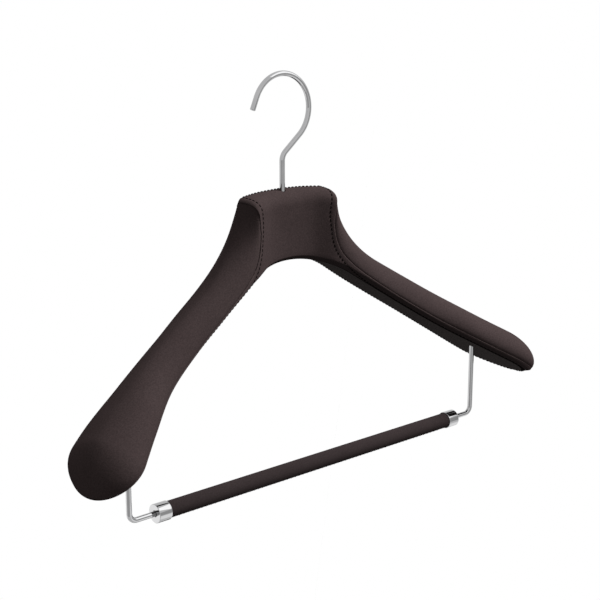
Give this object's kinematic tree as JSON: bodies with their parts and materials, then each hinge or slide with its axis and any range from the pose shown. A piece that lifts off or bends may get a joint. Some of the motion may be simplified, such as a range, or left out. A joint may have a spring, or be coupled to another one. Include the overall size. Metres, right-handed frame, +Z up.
{
  "type": "suit hanger",
  "caption": "Leather-covered suit hanger with wide contoured shoulders, a swivelling wire hook and a rolling trouser bar hung on wire brackets.",
  "frame": {"origin": "inside top of the hook's bend, the line that rests on the rail", "axes": "+X along the hanger towards the arm on the right as seen from the front, -Y towards the front that the shoulders curve to, +Z up"},
  "size_m": [0.4362, 0.1, 0.3018],
  "materials": {
    "dark_leather": "satin, fine grain, dark brown",
    "chrome": "polished plating",
    "brass": "turned",
    "steel": "zinc plated",
    "beech": "sanded, unfinished",
    "aluminium": "drawn tube",
    "nylon": "moulded"
  },
  "bodies": {
    "hook": {"hook": "chrome", "hook_nut": "steel"},
    "hanger": {"front_panel": "dark_leather", "back_panel": "dark_leather", "shoulder_panel_left": "dark_leather", "shoulder_panel_right": "dark_leather", "underside_panel": "dark_leather", "core_left": "beech", "core_right": "beech", "core_dowel_upper": "beech", "core_dowel_lower": "beech", "hook_bush": "brass", "hook_washer": "steel", "bracket_insert_left": "brass", "bracket_insert_right": "brass", "bracket_wire_left": "chrome", "bracket_wire_right": "chrome"},
    "bar": {"bar_tube": "aluminium", "bar_cover": "dark_leather", "ferrule_left": "chrome", "ferrule_right": "chrome", "bar_bushing_left": "nylon", "bar_bushing_right": "nylon"}
  },
  "joints": [
    {"name": "hook_swivel", "type": "hinge", "parent": "hook", "child": "hanger", "pos_m": [0, 0, -0.0847], "axis": [0, 0, 1], "continuous": true},
    {"name": "bar_roll", "type": "hinge", "parent": "hanger", "child": "bar", "pos_m": [0, -0.0413, -0.2908], "axis": [1, 0, 0], "continuous": true}
  ]
}
